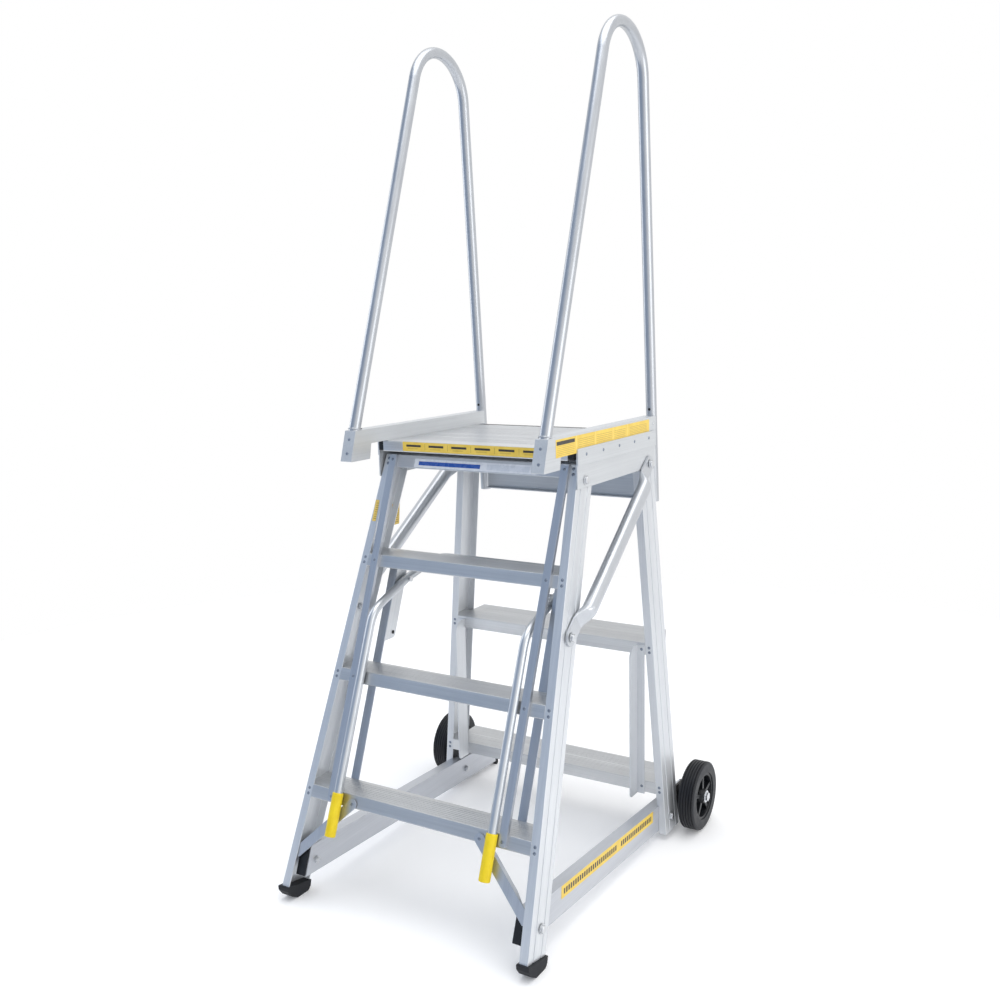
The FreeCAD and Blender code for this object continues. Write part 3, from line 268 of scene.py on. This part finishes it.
rivet_metal = metal("rivet_metal", (0.17, 0.20, 0.25), (0.30, 0.34, 0.40), Z_AXIS,
                    rough=(0.35, 0.5), stretch=1.0)
weld_metal = metal("weld_metal", (0.40, 0.42, 0.45), (0.62, 0.64, 0.67), Z_AXIS,
                   rough=(0.3, 0.5), streak=900.0, stretch=1.0, bump_strength=0.4)
# rubber black of the feet and pads, also used as painted shade in the step behind the deck
foot_rubber_and_shade = rubber("foot_rubber_and_shade", (0.006, 0.007, 0.010), (0.016, 0.018, 0.023))
tyre_rubber = rubber("tyre_rubber", (0.005, 0.006, 0.009), (0.014, 0.016, 0.021), rough=(0.40, 0.58))
black_plastic = rubber("black_plastic", (0.005, 0.006, 0.008), (0.013, 0.015, 0.019),
                       rough=(0.3, 0.5), grain=1600.0, strength=0.15)
black_paint = rubber("black_paint", (0.014, 0.014, 0.016), (0.026, 0.026, 0.03),
                     rough=(0.32, 0.5), grain=700.0, strength=0.12)
grip_vinyl = rubber("grip_vinyl", (0.74, 0.54, 0.008), (0.85, 0.66, 0.016),
                    rough=(0.34, 0.5), grain=1100.0, strength=0.2)

LOOKS = (
    ("front_stile", stile_metal), ("tie_strip", strip_metal), ("rear_strap", strip_metal),
    ("knee_brace", strip_metal), ("handle_bracket", stile_metal), ("front_foot", foot_rubber_and_shade),
    ("front_tread", tread_metal), ("front_cross_beam", beam_metal), ("base_rail", rail_metal),
    ("rail_end_plugs", black_plastic), ("rear_pads", foot_rubber_and_shade), ("rear_stile", upright_metal),
    ("rear_tread", tread_metal), ("rear_tie", upright_metal), ("diagonal_brace", brace_metal),
    ("deck_plank", deck_metal), ("deck_nosing", deck_metal), ("nosing_caps", black_plastic),
    ("side_beam", along_metal), ("handrail_channel", along_metal), ("handrail_hoop", tube_metal),
    ("rear_skirt", skirt_metal), ("skirt_brackets", upright_metal), ("wheel_tyre", tyre_rubber),
    ("wheel_hub", black_plastic), ("wheel_bracket", black_paint), ("axle_bolt", zinc),
    ("carry_handle", handle_metal), ("handle_grip", grip_vinyl), ("handle_pivots", zinc),
    ("bracket_plugs", black_plastic), ("frame_bolts", zinc), ("frame_rivets", rivet_metal),
)
for node_name, node in nodes.items():
    for start, look in LOOKS:
        if node_name.startswith(start):
            node.data.materials.clear()
            node.data.materials.append(look)
            break

# ---------------------------------------------------------------- piece helpers

FILM_GAP = 0.00012          # a film stands this far off the face that it sticks to
CORNER_STEPS = 4


def place(x, y, z):
    # Metres in the frame, from millimetres with Y counted from the toe line
    return Vector((x, y - CENTRE_Y, z)) / 1000.0


def mesh_piece(name, verts, faces, mat, matrix=None, smooth=False, body="frame"):
    mesh = bpy.data.meshes.new(name)
    mesh.from_pydata([tuple(v) for v in verts], [], faces)
    if smooth:
        mesh.polygons.foreach_set("use_smooth", [True] * len(faces))
    mesh.materials.append(mat)
    bm = bmesh.new()
    bm.from_mesh(mesh)
    bmesh.ops.recalc_face_normals(bm, faces=bm.faces)
    bm.to_mesh(mesh)
    bm.free()
    obj = bpy.data.objects.new(name, mesh)
    scene.collection.objects.link(obj)
    if matrix is not None:
        obj.matrix_world = matrix
    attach(obj, body)


def film(name, corner, along, up, width, height, mat, radius=0.0018, thick=0.00025):
    # Thin sheet with rounded corners; its own X runs along it and Y up it, from its lower left corner
    x_dir = along.normalized()
    normal = x_dir.cross(up).normalized()
    y_dir = normal.cross(x_dir).normalized()
    matrix = Matrix((x_dir, y_dir, normal)).transposed().to_4x4()
    matrix.translation = corner + normal * FILM_GAP
    rim = []
    for cx, cy, start in ((width - radius, height - radius, 0), (radius, height - radius, 90),
                          (radius, radius, 180), (width - radius, radius, 270)):
        for step in range(CORNER_STEPS):
            angle = math.radians(start + 90 / (CORNER_STEPS - 1) * step)
            rim.append((cx + radius * math.cos(angle), cy + radius * math.sin(angle)))
    count = len(rim)
    verts = [(x, y, 0.0) for x, y in rim] + [(x, y, thick) for x, y in rim]
    faces = [list(range(count))[::-1], list(range(count, 2 * count))]
    faces += [[i, (i + 1) % count, count + (i + 1) % count, count + i] for i in range(count)]
    mesh_piece(name, verts, faces, mat, matrix)


def across(axis):
    # The axis as a unit vector, and two directions square to it
    axis = Vector(axis).normalized()
    side = axis.orthogonal().normalized()
    return axis, side, axis.cross(side)


def turned(name, centre, axis, profile, mat, steps=24):
    # Turned shape: profile holds (radius, height) pairs along the axis
    axis, side, other = across(axis)
    verts, faces = [], []
    for radius, height in profile:
        for i in range(steps):
            angle = 2 * math.pi * i / steps
            sideways = side * (radius * math.cos(angle))
            verts.append(centre + axis * height + sideways + other * (radius * math.sin(angle)))
    for ring in range(len(profile) - 1):
        a = ring * steps
        for i in range(steps):
            j = (i + 1) % steps
            faces.append([a + i, a + j, a + steps + j, a + steps + i])
    faces.append(list(range(steps))[::-1])
    last = (len(profile) - 1) * steps
    faces.append(list(range(last, last + steps)))
    mesh_piece(name, verts, faces, mat, smooth=True)


def collar(name, centre, axis, radius, bead, mat, steps=48, ring=10):
    # Closed bead round a tube, lumpy like a weld
    axis, side, other = across(axis)
    verts, faces = [], []
    for i in range(steps):
        angle = 2 * math.pi * i / steps
        out = side * math.cos(angle) + other * math.sin(angle)
        size = bead * (1 + 0.14 * math.sin(angle * 17) + rng.uniform(-0.04, 0.04))
        for k in range(ring):
            turn = 2 * math.pi * k / ring
            reach = radius + size * math.cos(turn)
            verts.append(centre + out * reach + axis * (size * math.sin(turn)))
    for i in range(steps):
        for k in range(ring):
            j, m = (i + 1) % steps, (k + 1) % ring
            faces.append([i * ring + k, j * ring + k, j * ring + m, i * ring + m])
    mesh_piece(name, verts, faces, mat, smooth=True)


# ---------------------------------------------------------------- labels and strips

YELLOW = ((0.72, 0.49, 0.06), (0.82, 0.60, 0.11))
INK, RULE, PALE = (0.03, 0.028, 0.025), (0.42, 0.30, 0.06), (0.95, 0.78, 0.30)
BLUE, GREY = (0.03, 0.10, 0.42), (0.55, 0.60, 0.68)
RIGHTWARD, REARWARD, UPWARD = Vector(X_AXIS), Vector(Y_AXIS), Vector(Z_AXIS)

# strip along the nosing: six equal fields with a bar and a few rules each, parted by thin lines
NOSING_LABEL = 0.424
NOSING_FIELDS = 6
field_pitch = NOSING_LABEL / NOSING_FIELDS
nosing_marks = [(INK, (0.003, NOSING_LABEL - 0.003, 0.0045, 0.0205), ("u", field_pitch, 0.008))]
for field in range(NOSING_FIELDS):
    start = field_pitch * field + 0.012
    nosing_marks.append((INK, (start, start + 0.046, 0.0118, 0.0175), None))
    nosing_marks.append((RULE, (start + 0.004, start + 0.036, 0.0055, 0.0095), ("v", 0.002, 0.4)))
nosing_film = printed("nosing_film", *YELLOW, nosing_marks)
film("nosing_label", place(-212, 397, 1124), RIGHTWARD, UPWARD, NOSING_LABEL, 0.0245, nosing_film)

# strip on the cross beam: a plain blue bar and faint rules
beam_film = printed("beam_film", (0.70, 0.73, 0.78), (0.82, 0.84, 0.88), [
    (BLUE, (0.014, 0.205, 0.0058, 0.0165), None),
    (GREY, (0.225, 0.35, 0.004, 0.018), ("v", 0.0028, 0.35))], rough=(0.2, 0.35))
film("beam_label", place(-193, STILE_LEAN * BEAM_LABEL_Z, BEAM_LABEL_Z), RIGHTWARD, LEAN_UP,
     0.372, 0.0232, beam_film)

# long strip on the outer face of the right base rail: two runs of bars with a blank between them
RAIL_LABEL_Y = 215.5
RAIL_LABEL_DROP = 33.5      # from the rail's upper edge down to the strip's lower edge
rail_run = RAIL_LABEL_Y - RAIL_LEVEL_Y
rail_low = RAIL_LEVEL_Z + RAIL_SLOPE * rail_run + RAIL_HEIGHT - RAIL_LABEL_DROP
rail_film = printed("rail_film", *YELLOW, [
    (INK, (0.012, 0.296, 0.0085, 0.0225), ("u", 0.0115, 0.66)),
    (INK, (0.318, 0.512, 0.0085, 0.0225), ("u", 0.0115, 0.66))])
film("rail_label", place(RAIL_OUT_X + RAIL_SPLAY * rail_run, RAIL_LABEL_Y, rail_low),
     Vector((RAIL_SPLAY, 1, RAIL_SLOPE)), UPWARD, 0.524, 0.032, rail_film)

# strip on the right handrail channel: a headed field, four ruled fields and pale lines between them
CHANNEL_LABEL_HEIGHT = 0.0425
channel_marks = [
    (INK, (0.004, 0.096, 0.0285, 0.0375), None),
    (RULE, (0.006, 0.094, 0.004, 0.026), ("v", 0.0042, 0.22))]
for left, right, pitch, share in ((0.112, 0.198, 0.0046, 0.22), (0.214, 0.300, 0.0046, 0.22),
                                  (0.316, 0.384, 0.0046, 0.22), (0.410, 0.520, 0.0040, 0.26)):
    channel_marks.append((RULE, (left, right, 0.005, 0.036), ("v", pitch, share)))
for left in (0.1035, 0.2055, 0.3075, 0.396):
    channel_marks.append((PALE, (left, left + 0.0013, 0.0, CHANNEL_LABEL_HEIGHT), None))
channel_film = printed("channel_film", *YELLOW, channel_marks)
film("channel_label", place(CHANNEL_OUT_X, 301, 1140), REARWARD, UPWARD,
     0.537, CHANNEL_LABEL_HEIGHT, channel_film)

# painted shade: a dark film in the step between the deck's back edge and the skirt stands in for the
# shadow there
film("deck_rear_shade_strip", place(-248, 852, 1146.6), RIGHTWARD, REARWARD, 0.496, 0.013, foot_rubber_and_shade,
     thick=0.0034)

# two small films at the left front stile: one in line with its web, but behind the stile's rear
# edge, is a painted reflection that stands in for a sticker's reflection in the stile's rear flange, and
# one on its front flange is a sticker
STICKER_REFLECTION_Z = 907
FLANGE_STICKER_Z = 936
FLANGE_STICKER_INSET = 5.5
# sticker colours, used for the real sticker and for the painted sticker reflection behind the stile
sticker_and_reflection_film = printed("sticker_and_reflection_film", (0.72, 0.50, 0.10), (0.82, 0.60, 0.17), [
    (RULE, (0.004, 0.030, 0.006, 0.052), ("v", 0.006, 0.4))])
film("painted_sticker_reflection", place(-(STILE_OUT_X - STILE_FLARE * STICKER_REFLECTION_Z - STILE_WALL), 453, STICKER_REFLECTION_Z),
     REARWARD, Vector((STILE_FLARE, STILE_LEAN, 1)), 0.034, 0.060, sticker_and_reflection_film)
film("flange_sticker", place(-(STILE_OUT_X - STILE_FLARE * FLANGE_STICKER_Z - FLANGE_STICKER_INSET),
                             STILE_LEAN * FLANGE_STICKER_Z, FLANGE_STICKER_Z),
     RIGHTWARD, LEAN_UP, 0.012, 0.058, sticker_and_reflection_film)

# ---------------------------------------------------------------- welds, screws and rivets

CHANNEL_SCREW = [(0.0042, 0.0), (0.0042, 0.0012), (0.0032, 0.0024), (0.0012, 0.0030)]
LEG_SCREW = [(0.0040, -0.0006), (0.0040, 0.0012), (0.0028, 0.0024), (0.0010, 0.0028)]
CHANNEL_RIVET = [(0.0042, 0.0), (0.0038, 0.0010), (0.0024, 0.0020), (0.0008, 0.0023)]
WELD_RADIUS = 0.0155
WELD_BEAD = 0.0019

for sign, side_name in ((1, "right"), (-1, "left")):
    collar("weld_bead_" + side_name, place(sign * HOOP_X, HOOP_FRONT_Y, CHANNEL_TOP_Z + 1),
           Vector((0, HOOP_FRONT_LEAN, 1)), WELD_RADIUS, WELD_BEAD, weld_metal)
    turned("channel_screw_" + side_name, place(sign * HOOP_X, 306.5, CHANNEL_TOP_Z), Z_AXIS,
           CHANNEL_SCREW, black_plastic)
    turned("leg_screw_" + side_name, place(sign * HOOP_X, HOOP_REAR_Y - HOOP_RADIUS, 1206), (0, -1, 0),
           LEG_SCREW, black_plastic)
    for level, tall in enumerate((1134.0, 1168.0)):
        turned("channel_rivet_%d_%s" % (level, side_name), place(sign * CHANNEL_OUT_X, 869.0, tall),
               (sign, 0, 0), CHANNEL_RIVET, zinc)

# ---------------------------------------------------------------- stage

FLOOR_STEPS = 96
FLOOR_RADIUS = 3.2

floor_rim = []
for i in range(FLOOR_STEPS):
    floor_angle = 2 * math.pi * i / FLOOR_STEPS
    floor_rim.append((FLOOR_RADIUS * math.cos(floor_angle), FLOOR_RADIUS * math.sin(floor_angle), 0))
floor_mesh = bpy.data.meshes.new("floor")
floor_mesh.from_pydata(floor_rim, [], [list(range(FLOOR_STEPS))])
floor = bpy.data.objects.new("floor", floor_mesh)
scene.collection.objects.link(floor)
floor_mat, floor_tree, floor_shader = new_material("floor_paper")
floor_grain = noise(floor_tree, object_coordinates(floor_tree), 3.0, 3.0, 0.5)
floor_colour = ramp(floor_tree, floor_grain, [(0.3, (0.92, 0.92, 0.925)), (0.7, (0.94, 0.94, 0.945))])
floor_tree.links.new(floor_colour, floor_shader.inputs["Base Color"])
floor_shader.inputs["Roughness"].default_value = 0.95
floor_shader.inputs["Emission Color"].default_value = (1, 1, 1, 1)
floor_shader.inputs["Emission Strength"].default_value = 0.12
floor.data.materials.append(floor_mat)

WHITE = (1.0, 1.0, 1.0)
FLAG_BLUE = (0.35, 0.44, 0.59)
FLAG_DIRECTION = Vector((-0.62, -0.74, 0.12))


def studio_world():
    # White all round, with one dark blue flag low on the front left that shows only in reflections
    world = bpy.data.worlds.new("studio")
    world.use_nodes = True
    tree = world.node_tree
    tree.nodes.clear()
    out = tree.nodes.new("ShaderNodeOutputWorld")
    background = tree.nodes.new("ShaderNodeBackground")
    coords = tree.nodes.new("ShaderNodeTexCoord")
    towards = tree.nodes.new("ShaderNodeVectorMath")
    towards.operation = "DOT_PRODUCT"
    tree.links.new(coords.outputs["Generated"], towards.inputs[0])
    towards.inputs[1].default_value = FLAG_DIRECTION.normalized()
    flag = remap(tree, towards.outputs["Value"], 0.0, 1.0, 0.30, 0.78)
    around = ramp(tree, flag, [(0.0, WHITE), (1.0, FLAG_BLUE)])
    ray = tree.nodes.new("ShaderNodeLightPath")
    colour = layer(tree, around, WHITE, ray.outputs["Is Camera Ray"])
    tree.links.new(colour, background.inputs[0])
    background.inputs[1].default_value = 1.0
    tree.links.new(background.outputs[0], out.inputs[0])
    return world


def area_light(name, position, target, size, power):
    data = bpy.data.lights.new(name, "AREA")
    data.shape = "RECTANGLE"
    data.size, data.size_y = size
    data.energy = power
    lamp = bpy.data.objects.new(name, data)
    lamp.location = position
    lamp.rotation_euler = (Vector(target) - Vector(position)).to_track_quat("-Z", "Y").to_euler()
    scene.collection.objects.link(lamp)


scene.world = studio_world()
area_light("top_soft", (0.3, -0.3, 4.6), (0, 0, 0.8), (3.5, 3.5), 60)
area_light("right_soft", (4.2, -0.6, 1.8), (0, 0, 0.9), (2.5, 3.0), 36)
area_light("left_soft", (-4.0, -0.4, 2.0), (0, 0, 1.0), (2.0, 3.0), 30)

# ---------------------------------------------------------------- camera

CAMERA_AZIMUTH = math.radians(31.351)
CAMERA_DOWN = math.radians(9.044)
CAMERA_ROLL = math.radians(-1.233)
CAMERA_PLACE = Vector((1.4797, -1.8934 - CENTRE_Y / 1000.0, 1.4637))

camera_data = bpy.data.cameras.new("photo_view")
camera_data.sensor_width = 36.0
camera_data.lens = 39.05
camera_data.shift_y = -0.0093
camera_data.clip_end = 200.0
camera = bpy.data.objects.new("photo_view", camera_data)
forward = Vector((-math.sin(CAMERA_AZIMUTH) * math.cos(CAMERA_DOWN),
                  math.cos(CAMERA_AZIMUTH) * math.cos(CAMERA_DOWN), -math.sin(CAMERA_DOWN)))
level_right = forward.cross(UPWARD).normalized()
level_up = level_right.cross(forward).normalized()
camera_right = level_right * math.cos(CAMERA_ROLL) + level_up * math.sin(CAMERA_ROLL)
camera_up = level_up * math.cos(CAMERA_ROLL) - level_right * math.sin(CAMERA_ROLL)
camera_pose = Matrix((camera_right, camera_up, -forward)).transposed().to_4x4()
camera_pose.translation = CAMERA_PLACE
camera.matrix_world = camera_pose
scene.collection.objects.link(camera)
scene.camera = camera
scene.view_settings.view_transform = "Standard"
